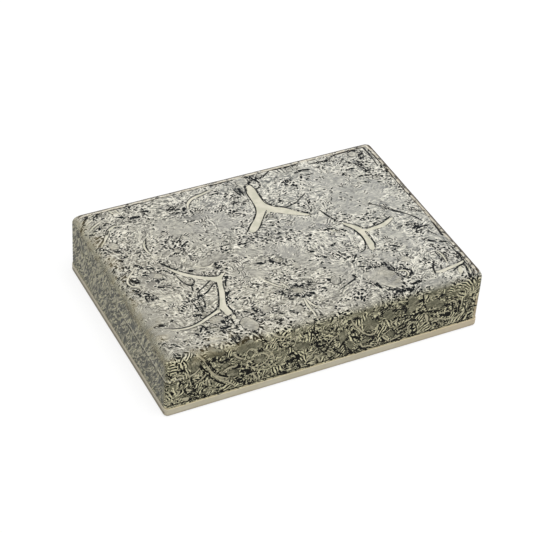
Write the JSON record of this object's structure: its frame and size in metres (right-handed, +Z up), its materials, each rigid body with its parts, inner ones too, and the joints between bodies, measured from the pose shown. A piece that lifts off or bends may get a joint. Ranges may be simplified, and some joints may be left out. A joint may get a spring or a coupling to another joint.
{
  "type": "papier-mache box",
  "caption": "Flat rectangular papier-mache box with a softly rounded lift-off lid, an inner collar and a marbled paper finish over a plain foot.",
  "frame": {"origin": "middle of the underside, where the box rests", "axes": "+X along the length, +Y to the back, +Z up"},
  "size_m": [0.15, 0.104, 0.032],
  "materials": {
    "decorated_paper": "satin",
    "plain_foot": "satin",
    "papier_mache": "matte",
    "pasteboard": "matte",
    "lining_paper": "matte"
  },
  "bodies": {
    "base": {"foot_board": "plain_foot", "base_shell": "papier_mache", "base_cover": "decorated_paper", "collar_front": "pasteboard", "collar_right": "pasteboard", "collar_back": "pasteboard", "collar_left": "pasteboard", "base_lining": "lining_paper"},
    "lid": {"lid_shell": "papier_mache", "lid_cover": "decorated_paper", "lid_lining": "lining_paper"}
  },
  "joints": [
    {"name": "lid_lift", "type": "slide", "parent": "base", "child": "lid", "axis": [0, 0, 1], "range_m": [0, 0.04]}
  ]
}
